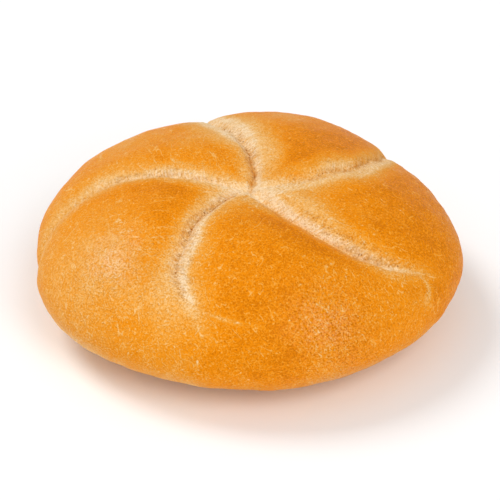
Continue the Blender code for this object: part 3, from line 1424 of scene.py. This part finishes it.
@dataclass(frozen=True)
class CrustFinish:
    """Baked crust: one run of colours from pale dough to dark brown, pebbled and flecked."""

    name: str = "crust"
    bake_colours: tuple[tuple[float, tuple[int, int, int]], ...] = (
        (0.00, (255, 224, 182)),
        (0.15, (249, 206, 148)),
        (0.30, (244, 188, 112)),
        (0.44, (242, 171, 78)),
        (0.57, (240, 157, 48)),
        (0.70, (240, 148, 24)),
        (0.83, (235, 137, 5)),
        (1.00, (214, 120, 2)),
    )
    sole_colour: tuple[int, int, int] = (212, 140, 62)
    plain_colour: tuple[int, int, int] = (240, 148, 24)  # where the crust is shown without its nodes
    # What the cracks are multiplied by: their browner dough and the shade painted into them
    crack_brown_and_shade: Triple = (0.74, 0.44, 0.06)
    # What the pores are multiplied by: painted shade down in them
    pore_shade: Triple = (0.44, 0.23, 0.07)
    # What the gaps between the grains of the crust are multiplied by: painted shade
    grain_shade: Triple = (0.88, 0.84, 0.77)
    # What the gaps between the grains of torn and pale dough are multiplied by: painted shade
    torn_shade: Triple = (0.80, 0.72, 0.60)

    # The bake
    usual_bake: float = 0.768
    pale_bake: float = 0.06
    golden_to_brown: Span = (0.45, 0.80)
    weights: BakeWeights = BakeWeights()
    heights: CrustHeights = CrustHeights()

    # The patterns, which are drawn out the way that their places are squeezed
    across_petals: Triple = (0.40, 1.0, 1.0)
    along_petals: Triple = (1.0, 0.35, 1.0)
    round_sides: Triple = (0.6, 0.6, 1.5)
    fleck_share: float = 0.28
    blister_and_glint_flecks: float = 0.45  # what the blisters and the painted glints of the sheen add to that share
    coarse_flecks: float = 0.9
    side_thinning: float = -0.85
    crosswise_lines: float = 0.55
    wrinkled_lines: float = 0.6
    fibre_lines: float = 0.70
    ragged_middling: float = 0.18
    ragged_grain: float = 0.05
    ragged_where: Span = (0.0, 0.35)
    pressed_pores: float = 0.24

    # The colour, and the shade painted into the cracks, the pores and between the grains
    sole_share: float = 0.5
    sole_patchiness: float = 0.2
    pore_darkness: float = 1.5
    gap_pebbles: float = 0.6
    gap_levels: Span = (0.5, -1.1)
    gap_darkness: Span = (0.80, 0.42)  # how strong the painted shade between the grains is on golden crust, and on brown crust
    torn_levels: Span = (0.35, -0.9)
    torn_on_pale: float = 0.16

    # The gloss
    roughness: float = 0.42
    glossy_roughness: float = 0.24
    pale_roughness: float = 0.75
    roughness_swing: float = 0.05
    gloss: float = 0.030
    patch_coat: float = 0.75
    coat_share: float = 0.5
    coat_speckle: float = 0.6
    coat_roughness: float = 0.32
    sheen: float = 0.035
    sheen_roughness: float = 0.35

    def material(self, effects: EffectShelf) -> bpy.types.Material:
        """Builds the material.

        Args:
            effects: the shared node groups.

        Returns:
            The material.
        """
        material = bpy.data.materials.new(self.name)
        material.use_nodes = True
        material.diffuse_color = linear_colour(*self.plain_colour)
        wiring = Wiring(material.node_tree)
        masks = self.masks(wiring, effects)
        bump = wiring.node("ShaderNodeBump")
        for name, value in (("Strength", 1.0), ("Distance", 1.0), ("Height", self.height(wiring, masks))):
            wiring.feed(bump.inputs[name], value)
        looks = {
            "Base Color": self.colour(wiring, masks, self.bake(wiring, masks)),
            "Roughness": self.roughness_of(wiring, masks),
            "Normal": bump.outputs["Normal"],
            "Specular IOR Level": self.gloss,
            "Coat Weight": self.coat(wiring, masks),
            "Coat Roughness": self.coat_roughness,
            "Sheen Weight": self.sheen,
            "Sheen Roughness": self.sheen_roughness,
        }
        shader = material.node_tree.nodes["Principled BSDF"]
        for name, value in looks.items():
            wiring.feed(shader.inputs[name], value)
        return material

    def masks(self, wiring: Wiring, effects: EffectShelf) -> CrustMasks:
        """Places the mottling and masks that the other steps share.

        Args:
            wiring: the material's wiring.
            effects: the shared node groups.

        Returns:
            Their outputs.
        """
        place = wiring.node("ShaderNodeTexCoord").outputs["Object"]
        drawn = wiring.vector_maths("MULTIPLY", wiring.petal_place(), self.across_petals)
        middling = wiring.place(effects.mottling, Place=place, Length=0.0036, Fineness=2.0)
        grain = wiring.place(effects.mottling, Place=place, Length=0.00042, Fineness=1.0)
        return CrustMasks(
            broad=wiring.place(effects.mottling, Place=place, Length=0.0130, Fineness=2.0),
            middling=middling,
            grain=grain,
            fibres=wiring.place(effects.mottling, Place=drawn, Length=0.00060, Fineness=1.5),
            pebbles=wiring.place(effects.pebbles, Place=place, Spacing=0.00052),
            flecks=self.fleck_mask(wiring, effects, place),
            lines=self.line_mask(wiring, effects, place),
            pores=self.pore_mask(wiring, effects, place),
            pale=self.pale_mask(wiring, middling, grain),
        )

    def fleck_mask(self, wiring: Wiring, effects: EffectShelf, place: Socket) -> Socket:
        """Scatters the tiny pale blisters of the skin, with painted glints of the sheen where the highlights
        fall.

        Args:
            wiring: the material's wiring.
            effects: the shared node groups.
            place: the surface's place.

        Returns:
            The mask's output.
        """
        share = wiring.plus(self.fleck_share, (wiring.mask("blisters_and_glints"), self.blister_and_glint_flecks))
        fine = wiring.place(effects.flecks, Place=place, Spacing=0.0009, Size=0.00036, Share=share)
        coarse = wiring.place(effects.flecks, Place=place, Spacing=0.0026, Size=0.00060, Share=0.12)
        return wiring.larger(fine, wiring.times(coarse, self.coarse_flecks))

    def line_mask(self, wiring: Wiring, effects: EffectShelf, place: Socket) -> Socket:
        """Draws the short pale hairlines of the skin, along the petals and round the sides.

        Args:
            wiring: the material's wiring.
            effects: the shared node groups.
            place: the surface's place.

        Returns:
            The mask's output.
        """
        hairlines = effects.hairlines
        side = wiring.mask("side")
        along = wiring.vector_maths("MULTIPLY", wiring.petal_place(), self.along_petals)
        lengthwise = wiring.place(hairlines, Place=along, Length=0.0022, Width=0.030, Share=0.44)
        lengthwise = wiring.times(lengthwise, wiring.plus(1.0, (side, self.side_thinning)))
        around = wiring.vector_maths("MULTIPLY", place, self.round_sides)
        crosswise = wiring.place(hairlines, Place=around, Length=0.0018, Width=0.026, Share=0.30)
        wrinkled = wiring.larger(wiring.mask("wrinkled"), side)
        strength = wiring.plus(self.crosswise_lines, (wrinkled, self.wrinkled_lines))
        crosswise = wiring.times(crosswise, strength)
        fibres = wiring.place(hairlines, Place=place, Length=0.0011, Width=0.044, Share=0.95)
        return wiring.larger(wiring.larger(lengthwise, crosswise), wiring.times(fibres, self.fibre_lines))

    def pore_mask(self, wiring: Wiring, effects: EffectShelf, place: Socket) -> Socket:
        """Scatters fine pores where the dough is torn, beside those pressed into the mesh, for their relief
        and the shade painted into them.

        Args:
            wiring: the material's wiring.
            effects: the shared node groups.
            place: the surface's place.

        Returns:
            The mask's output.
        """
        fine = wiring.place(effects.flecks, Place=place, Spacing=0.00072, Size=0.00032, Share=0.50)
        torn = wiring.times(fine, wiring.mask("torn"))
        return wiring.larger(torn, wiring.times(wiring.mask("pore"), self.pressed_pores))

    def pale_mask(self, wiring: Wiring, middling: Socket, grain: Socket) -> Socket:
        """Gives the pale dough its ragged edges.

        Args:
            wiring: the material's wiring.
            middling: middling mottling.
            grain: fine mottling.

        Returns:
            The mask's output.
        """
        smooth = wiring.mask("pale")
        coarse = wiring.times(middling, self.ragged_middling)
        ragged = wiring.maths("ADD", coarse, wiring.times(grain, self.ragged_grain))
        ragged = wiring.times(ragged, wiring.eased(smooth, *self.ragged_where))
        return wiring.clamped(wiring.maths("ADD", smooth, ragged))

    def bake(self, wiring: Wiring, masks: CrustMasks) -> Socket:
        """Works out how far each spot has baked, from 0, pale, to 1, dark brown.

        Args:
            wiring: the material's wiring.
            masks: the crust's mottling and masks.

        Returns:
            The output of the bake.
        """
        weights = self.weights
        blisters_and_glints = wiring.mask("blisters_and_glints")
        crust = wiring.maths("ADD", self.usual_bake, wiring.mask("browning"))
        crust = wiring.plus(crust, (masks.broad, weights.broad), (masks.middling, weights.middling))
        brown = wiring.eased(crust, *self.golden_to_brown)
        grain = wiring.blend(blisters_and_glints, *weights.grain)
        detail = wiring.times(masks.lines, weights.lines)
        detail = wiring.plus(detail, (masks.flecks, weights.flecks), (masks.grain, grain))
        crust = wiring.plus(crust, (detail, wiring.blend(brown, *weights.detail)))
        dough = wiring.plus(
            self.pale_bake,
            (masks.middling, weights.dough_middling),
            (masks.grain, weights.dough_grain),
            (masks.fibres, weights.dough_fibres),
        )
        return wiring.plus(
            wiring.blend(masks.pale, crust, dough),
            (masks.pebbles, wiring.blend(blisters_and_glints, *weights.pebbles)),
            (wiring.mask("torn"), weights.torn),
            (masks.pores, weights.pores),
        )

    def colour(self, wiring: Wiring, masks: CrustMasks, bake: Socket) -> Socket:
        """Turns the bake into colour, with shade painted into the cracks and pores and down between the
        grains.

        Args:
            wiring: the material's wiring.
            masks: the crust's mottling and masks.
            bake: how far each spot has baked.

        Returns:
            The output of the colour.
        """
        run = wiring.node("ShaderNodeValToRGB")
        stops = run.color_ramp.elements
        while len(stops) < len(self.bake_colours):
            stops.new(0.5)
        for stop, (position, colour) in zip(stops, self.bake_colours):
            stop.position = position
            stop.color = linear_colour(*colour)
        wiring.feed(run.inputs["Fac"], bake)
        baked = run.outputs["Color"]
        patchy = wiring.plus(self.sole_share, (masks.middling, self.sole_patchiness))
        sole = wiring.tint(patchy, linear_colour(*self.sole_colour), baked)
        skin = wiring.tint(wiring.mask("underside"), baked, sole)
        # Shade painted into the cracks, with their browner dough, into the pores and between the grains
        painted_shades = (
            (wiring.mask("crack_and_shade"), self.crack_brown_and_shade),
            (wiring.times(masks.pores, self.pore_darkness), self.pore_shade),
            (self.shade_between_grains(wiring, masks, bake), self.grain_shade),
            (self.shade_between_torn_grains(wiring, masks), self.torn_shade),
        )
        for share, shade in painted_shades:
            skin = wiring.shaded(share, skin, (*shade, 1.0))
        return skin

    def shade_between_grains(self, wiring: Wiring, masks: CrustMasks, bake: Socket) -> Socket:
        """Finds where shade is painted into the gaps between the grains, less where the crust is brown.

        Args:
            wiring: the material's wiring.
            masks: the crust's mottling and masks.
            bake: how far each spot has baked.

        Returns:
            The mask's output.
        """
        level = wiring.plus(masks.grain, (masks.pebbles, self.gap_pebbles))
        brown = wiring.eased(bake, *self.golden_to_brown)
        return wiring.times(wiring.eased(level, *self.gap_levels), wiring.blend(brown, *self.gap_darkness))

    def shade_between_torn_grains(self, wiring: Wiring, masks: CrustMasks) -> Socket:
        """Finds where shade is painted between the grains of torn and of pale dough."""
        where = wiring.larger(wiring.mask("torn"), wiring.times(masks.pale, self.torn_on_pale))
        return wiring.times(wiring.eased(masks.grain, *self.torn_levels), where)

    def roughness_of(self, wiring: Wiring, masks: CrustMasks) -> Socket:
        """Works out the roughness: satin on the crust, dull on the pale dough.

        Args:
            wiring: the material's wiring.
            masks: the crust's mottling and masks.

        Returns:
            The output of the roughness.
        """
        crust = wiring.blend(wiring.mask("glossy"), self.roughness, self.glossy_roughness)
        rough = wiring.blend(masks.pale, crust, self.pale_roughness)
        return wiring.plus(rough, (masks.middling, self.roughness_swing), (masks.grain, self.roughness_swing))

    def coat(self, wiring: Wiring, masks: CrustMasks) -> Socket:
        """Works out the thin coat of the glossy patches, speckled by the pebbles."""
        speckled = wiring.clamped(wiring.plus(self.coat_share, (masks.pebbles, self.coat_speckle)))
        return wiring.times(wiring.times(wiring.mask("glossy"), self.patch_coat), speckled)

    def height(self, wiring: Wiring, masks: CrustMasks) -> Socket:
        """Adds up the relief that is finer than the mesh.

        Args:
            wiring: the material's wiring.
            masks: the crust's mottling and masks.

        Returns:
            The output of the height, in metres.
        """
        heights = self.heights
        return wiring.plus(
            wiring.times(masks.grain, wiring.blend(masks.pale, *heights.grain)),
            (masks.pebbles, wiring.blend(wiring.mask("glossy"), *heights.pebbles)),
            (masks.flecks, heights.flecks),
            (masks.lines, heights.lines),
            (masks.pores, heights.pores),
        )


@dataclass(frozen=True)
class FloorFinish:
    """Matt white studio floor with the faintest unevenness."""

    name: str = "floor_paint"
    light: tuple[int, int, int] = (253, 253, 253)
    shade: tuple[int, int, int] = (251, 251, 251)
    shade_share: float = 0.5
    patchiness: float = 0.25
    roughness: float = 0.8
    gloss: float = 0.1

    def material(self, effects: EffectShelf) -> bpy.types.Material:
        """Builds the material.

        Args:
            effects: the shared node groups.

        Returns:
            The material.
        """
        material = bpy.data.materials.new(self.name)
        material.use_nodes = True
        wiring = Wiring(material.node_tree)
        place = wiring.node("ShaderNodeTexCoord").outputs["Object"]
        cloud = wiring.place(effects.mottling, Place=place, Length=0.08, Fineness=2.0)
        share = wiring.plus(self.shade_share, (cloud, self.patchiness))
        colour = wiring.tint(share, linear_colour(*self.light), linear_colour(*self.shade))
        shader = material.node_tree.nodes["Principled BSDF"]
        wiring.feed(shader.inputs["Base Color"], colour)
        wiring.feed(shader.inputs["Roughness"], self.roughness)
        wiring.feed(shader.inputs["Specular IOR Level"], self.gloss)
        return material


@dataclass
class Roll:
    """The kaiser roll: its fine mesh, the masks of its bake, and its crust."""

    name: str = "baked_roll"
    body: DoughBody = DoughBody()
    folds: tuple[Fold, ...] = FOLDS
    creases: tuple[Crease, ...] = CREASES
    patches: tuple[Patch, ...] = PATCHES
    skin: Skin = Skin()
    finish: CrustFinish = CrustFinish()
    columns_per_petal: int = 100
    skin_rings: int = 172
    sole_rings: int = 22
    column_crowding: float = 0.6
    meeting_power: float = 4.0
    camber_end: float = 1.6
    centre_pale: Span = (0.0015, 0.0055)
    side_paling: float = 0.28
    axis_place: Span = (0.0, 0.0)  # where the dough body's axis stands, once the roll is shaped

    side_travels = (0.88, 1.12)
    paling_travels = (0.96, 1.34)
    underside_travels = (1.75, 1.98)
    sole_edge = 0.12  # the share of the sole over which its hollows begin
    petal_width = 0.9
    petal_gap = 0.2  # metres that set the patterns of two petals apart
    drop_share = 0.6  # how much of the way down counts as way along a petal
    skin_share = 1.15  # the skin from the crown to the belly, in belly radii
    pit_reach = 2.5  # how far a pore's hollow is worked out, in its radii
    pore_strength = 0.8

    def build(self, effects: EffectShelf) -> bpy.types.Object:
        """Builds the roll and dresses it.

        Args:
            effects: the shared node groups.

        Returns:
            The roll's object.
        """
        ring, column, faces = self.grid()
        points, masks, petal_place = self.shaped(ring, column)
        mesh = bpy.data.meshes.new(self.name)
        mesh.from_pydata(points.tolist(), [], faces)
        for name, values in masks.items():
            layer = mesh.attributes.new(name, "FLOAT", "POINT")
            layer.data.foreach_set("value", values.astype(np.float32))
        layer = mesh.attributes.new(PETAL_PLACE, "FLOAT_VECTOR", "POINT")
        layer.data.foreach_set("vector", petal_place.astype(np.float32).ravel())
        mesh.shade_smooth()
        mesh.materials.append(self.finish.material(effects))
        mesh.update()
        piece = bpy.data.objects.new(self.name, mesh)
        bpy.context.scene.collection.objects.link(piece)
        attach(piece, "root")
        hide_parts("roll")
        return piece

    def grid(self) -> tuple[Array, Array, list[list[int]]]:
        """Lays out the grid of rings and columns between the crown and the middle of the sole.

        Returns:
            Each point's ring and column, where whole columns lie on the folds, and the faces.
        """
        columns = self.columns_per_petal * len(self.folds)
        rings = self.skin_rings + self.sole_rings
        ring = np.concatenate([[0], np.repeat(np.arange(1, rings), columns), [rings]]).astype(float)
        column = np.concatenate([[0], np.tile(np.arange(columns), rings - 1), [0]]) / self.columns_per_petal
        place = 1 + np.arange((rings - 1) * columns).reshape(rings - 1, columns)
        beside = np.roll(place, -1, axis=1)
        sides = np.stack([place[:-1], place[1:], beside[1:], beside[:-1]], axis=-1).reshape(-1, 4)
        top = np.stack([np.zeros(columns, dtype=int), place[0], beside[0]], axis=-1)
        bottom = np.stack([place[-1], np.full(columns, place[-1, -1] + 1), beside[-1]], axis=-1)
        return ring, column, sides.tolist() + top.tolist() + bottom.tolist()

    def shaped(self, ring: Array, column: Array) -> tuple[Array, dict[str, Array], Array]:
        """Works out the roll's surface and its masks.

        Args:
            ring: each point's ring.
            column: each point's column, a whole number lying on a fold.

        Returns:
            The points on the roll, the masks by name, and each point's place on its petal.
        """
        travel = self.body.even_travels(np.clip(ring / self.skin_rings, 0.0, 1.0))
        in_sole = np.clip((self.skin_rings + self.sole_rings - ring) / self.sole_rings, 0.0, 1.0)
        bearing, camber, petal_share = self.grid_bearing(column, travel)
        lift, masks = self.fold_relief(bearing, travel, camber, petal_share)
        plain = self.body.raised(bearing, travel, lift)
        middle = (plain.min(axis=0) + plain.max(axis=0)) / 2.0
        self.axis_place = (-middle[0], -middle[1])
        lift = lift + self.fine_relief(plain, bearing, travel, masks)
        points = self.body.raised(bearing, travel, lift)
        points[:, :2] = points[:, :2] * in_sole[:, None] - middle[:2]
        hollows = self.skin.sole_relief(points, smooth_step(0.0, self.sole_edge, 1.0 - in_sole))
        points[:, 2] = np.where(in_sole < 1.0, hollows, np.maximum(points[:, 2], 0.0))
        masks["underside"] = smooth_step(*self.underside_travels, travel)
        masks["side"] = smooth_step(*self.side_travels, travel)
        arc = np.hypot(points[:, 0], points[:, 1])
        arc = arc + self.drop_share * (self.body.crown_rise + self.body.belly_height - points[:, 2])
        own = np.floor(column) % len(self.folds)
        petal_place = np.stack([petal_share * self.petal_width * arc, arc, own * self.petal_gap], axis=1)
        return points, masks, petal_place

    def grid_bearing(self, column: Array, travel: Array) -> tuple[Array, Array, Array]:
        """Winds the grid's columns along the folds.

        Args:
            column: each point's column, a whole number lying on a fold.
            travel: each point's travel.

        Returns:
            The bearing, the camber of the point's petal and its place across the petal.
        """
        count = len(self.folds)
        own = np.floor(column).astype(int) % count
        step = column - np.floor(column)
        petal_share = step - self.column_crowding * np.sin(2.0 * math.pi * step) / (2.0 * math.pi)
        plan_share = self.body.plan_share(travel)
        bearings = np.array([fold.bearing_at(plan_share) for fold in self.folds])
        point = np.arange(len(column))
        start = bearings[own, point]
        gap = (bearings[(own + 1) % count, point] - start) % (2.0 * math.pi)
        camber = np.array([fold.camber for fold in self.folds])[own]
        return start + petal_share * gap, camber, petal_share

    def fold_relief(
        self, bearing: Array, travel: Array, camber: Array, petal_share: Array
    ) -> tuple[Array, dict[str, Array]]:
        """Works out the folds and petals, how far the crust has baked beside them, and the shade painted into
        their cracks.

        Args:
            bearing: the points' bearings, in radians.
            travel: the points' travels.
            camber: how far each point's petal swells.
            petal_share: each point's place across its petal.

        Returns:
            How far each point is raised, and the masks by name.
        """
        cuts = np.zeros_like(bearing)
        pits = np.zeros_like(bearing)
        masks = {name: np.zeros_like(bearing) for name in ("pale", "browning", "crack_and_shade", "torn", "pore")}
        for fold in self.folds:
            across = fold.across(self.body, bearing, travel)
            cuts += fold.cut(across, travel) ** self.meeting_power
            masks["pale"] = np.maximum(masks["pale"], fold.paleness(across, travel))
            masks["browning"] += fold.browning(across, travel)
            for line in fold.crack_shades:
                gap = line.mask(across, travel)
                masks["crack_and_shade"] = np.maximum(masks["crack_and_shade"], line.darkness * gap)
                pits = np.maximum(pits, line.depth * gap)
            for row in fold.pores:
                masks["torn"] = np.maximum(masks["torn"], row.torn(across, travel))
                self.press_pits(row, across, travel, masks["pore"], pits)
        outward = np.clip(travel / self.camber_end, 0.0, 1.0)
        swelling = np.sin(math.pi * petal_share) * np.sin(math.pi * outward)
        lift = camber * swelling + self.body.slow_unevenness(bearing, travel)
        lift = lift - cuts ** (1.0 / self.meeting_power)
        radius = self.body.shell(bearing, travel)[0]
        centre = (1.0 - smooth_step(*self.centre_pale, radius)) * (travel < 1.0)
        masks["pale"] = np.maximum(masks["pale"], centre)
        return lift - pits, masks

    def press_pits(self, row: PoreRow, across: Array, travel: Array, pore: Array, pits: Array) -> None:
        """Presses one row of pores into the skin.

        Args:
            row: the row of pores.
            across: the points' signed distances from the fold.
            travel: the points' travels.
            pore: the pores' mask, which is added to.
            pits: the depths, which are added to.
        """
        skin_length = self.body.belly_radius * self.skin_share
        for place, offset, radius, depth in row.pits():
            aside = np.hypot(across - offset, (travel - place) * skin_length)
            near = aside < self.pit_reach * radius
            hollow = np.exp(-((aside[near] / radius) ** 2))
            pore[near] = np.maximum(pore[near], self.pore_strength * hollow)
            pits[near] = np.maximum(pits[near], depth * hollow)

    def fine_relief(self, plain: Array, bearing: Array, travel: Array, masks: dict[str, Array]) -> Array:
        """Adds the faint creases, the patches and the skin's relief.

        Args:
            plain: the points of the folded form.
            bearing: the points' bearings, in radians.
            travel: the points' travels.
            masks: the masks by name, which are added to.

        Returns:
            How far each point is raised.
        """
        lift = np.zeros_like(bearing)
        for crease in self.creases:
            along = crease.mask(self.body, bearing, travel)
            lift -= crease.depth * along
            masks["pale"] = np.maximum(masks["pale"], crease.paleness * along)
        found = {mark: np.zeros_like(bearing) for mark in Mark}
        for patch in self.patches:
            found[patch.mark] += patch.mask(self.body, bearing, travel)
        paler_side = self.side_paling * smooth_step(*self.paling_travels, travel)
        # The golden patches take browning away, two of them as painted highlights where the sheen falls
        masks["browning"] = masks["browning"] + found[Mark.BROWN] - found[Mark.GOLDEN_AND_SHEEN] - paler_side
        for mark in (Mark.WRINKLED, Mark.BLISTERS_AND_GLINTS, Mark.GLOSSY):
            masks[mark.name.lower()] = np.clip(found[mark], 0.0, 1.0)
        return lift + self.skin.relief(plain, masks["pale"], masks["wrinkled"])


@dataclass(frozen=True)
class SoftLight:
    """A soft round light that faces the roll."""

    name: str
    place: Triple
    size: float  # metres across
    watts: float

    faces = (0.0, 0.0, 0.02)

    def hang(self) -> None:
        """Hangs the light in its place."""
        lamp = bpy.data.lights.new(self.name, "AREA")
        lamp.shape = "DISK"
        lamp.size = self.size
        lamp.energy = self.watts
        holder = bpy.data.objects.new(self.name, lamp)
        holder.location = self.place
        holder.rotation_euler = (Vector(self.faces) - Vector(self.place)).to_track_quat("-Z", "Y").to_euler()
        bpy.context.scene.collection.objects.link(holder)


@dataclass
class Studio:
    """The floor, the lights and the camera."""

    finish: FloorFinish = FloorFinish()
    lights: tuple[SoftLight, ...] = (
        SoftLight("key_light", (-1.20, 0.68, 1.82), 1.0, 18.9),
        SoftLight("side_light", (1.25, -1.55, 0.86), 0.9, 5.9),
        SoftLight("front_light", (0.92, -1.28, 1.90), 1.3, 14.5),
    )
    floor_size: float = 3.0
    elevation: float = 35.0  # degrees that the camera looks down by
    distance: float = 0.450
    lens: float = 128.4
    sensor: float = 36.0
    aim: Span = (-0.00036, 0.013)  # metres along +Y from the roll's axis, and metres up
    horizon: float = 0.76  # how bright the surroundings are level with the roll
    overhead: float = 0.68
    upward_levels: Span = (-0.2, 1.0)
    dim_towards: Triple = (0.55, 0.83, 0.0)  # the side of the surroundings that is dimmed
    dim_levels: Span = (-0.1, 0.9)
    dimmed_to: float = 0.38

    def build(self, axis_place: Span, effects: EffectShelf) -> bpy.types.Object:
        """Builds the studio.

        Args:
            axis_place: where the dough body's axis stands on the floor.
            effects: the shared node groups.

        Returns:
            The floor's object.
        """
        scene = bpy.context.scene
        scene.view_settings.view_transform = "Standard"
        scene.view_settings.look = "None"
        self.surroundings()
        for light in self.lights:
            light.hang()
        self.camera(axis_place)
        return self.floor(effects)

    def surroundings(self) -> None:
        """Lights the scene softly from all round, and less from the far right."""
        world = bpy.data.worlds.new("studio")
        world.use_nodes = True
        wiring = Wiring(world.node_tree)
        backdrop = world.node_tree.nodes["Background"]
        heading = wiring.node("ShaderNodeTexCoord").outputs["Generated"]
        height = wiring.node("ShaderNodeSeparateXYZ")
        wiring.feed(height.inputs[0], heading)
        upward = wiring.eased(height.outputs["Z"], *self.upward_levels)
        strength = wiring.blend(upward, self.horizon, self.overhead)
        behind = wiring.vector_maths("DOT_PRODUCT", heading, self.dim_towards, output="Value")
        dimmed = wiring.blend(wiring.eased(behind, *self.dim_levels), 1.0, self.dimmed_to)
        wiring.feed(backdrop.inputs["Color"], (1.0, 1.0, 1.0, 1.0))
        wiring.feed(backdrop.inputs["Strength"], wiring.times(strength, dimmed))
        bpy.context.scene.world = world

    def camera(self, axis_place: Span) -> None:
        """Stands the camera in front of the roll, looking down at it.

        Args:
            axis_place: where the dough body's axis stands on the floor.
        """
        tilt = math.radians(self.elevation)
        aim = Vector((axis_place[0], axis_place[1] + self.aim[0], self.aim[1]))
        eye = bpy.data.cameras.new("camera")
        eye.lens = self.lens
        eye.sensor_width = self.sensor
        eye.dof.use_dof = False
        holder = bpy.data.objects.new("camera", eye)
        holder.location = aim + self.distance * Vector((0.0, -math.cos(tilt), math.sin(tilt)))
        holder.rotation_euler = (math.pi / 2.0 - tilt, 0.0, 0.0)
        bpy.context.scene.collection.objects.link(holder)
        bpy.context.scene.camera = holder

    def floor(self, effects: EffectShelf) -> bpy.types.Object:
        """Lays the floor.

        Args:
            effects: the shared node groups.

        Returns:
            The floor's object.
        """
        mesh = bpy.data.meshes.new("floor")
        sheet = bmesh.new()
        bmesh.ops.create_grid(sheet, x_segments=8, y_segments=8, size=self.floor_size / 2.0)
        sheet.to_mesh(mesh)
        sheet.free()
        mesh.materials.append(self.finish.material(effects))
        floor = bpy.data.objects.new("floor", mesh)
        bpy.context.scene.collection.objects.link(floor)
        return floor


def main() -> None:
    """Builds the roll and the studio, and reports each piece."""
    logging.basicConfig(level=logging.INFO, format="%(name)s: %(message)s")
    effects = EffectShelf()
    roll = Roll()
    piece = roll.build(effects)
    masks = ", ".join(piece.data.attributes.keys())
    log.info("%s: %d faces, masks %s", piece.name, len(piece.data.polygons), masks)
    floor = Studio().build(roll.axis_place, effects)
    log.info("%s: %d faces", floor.name, len(floor.data.polygons))


if __name__ == "__main__":
    main()
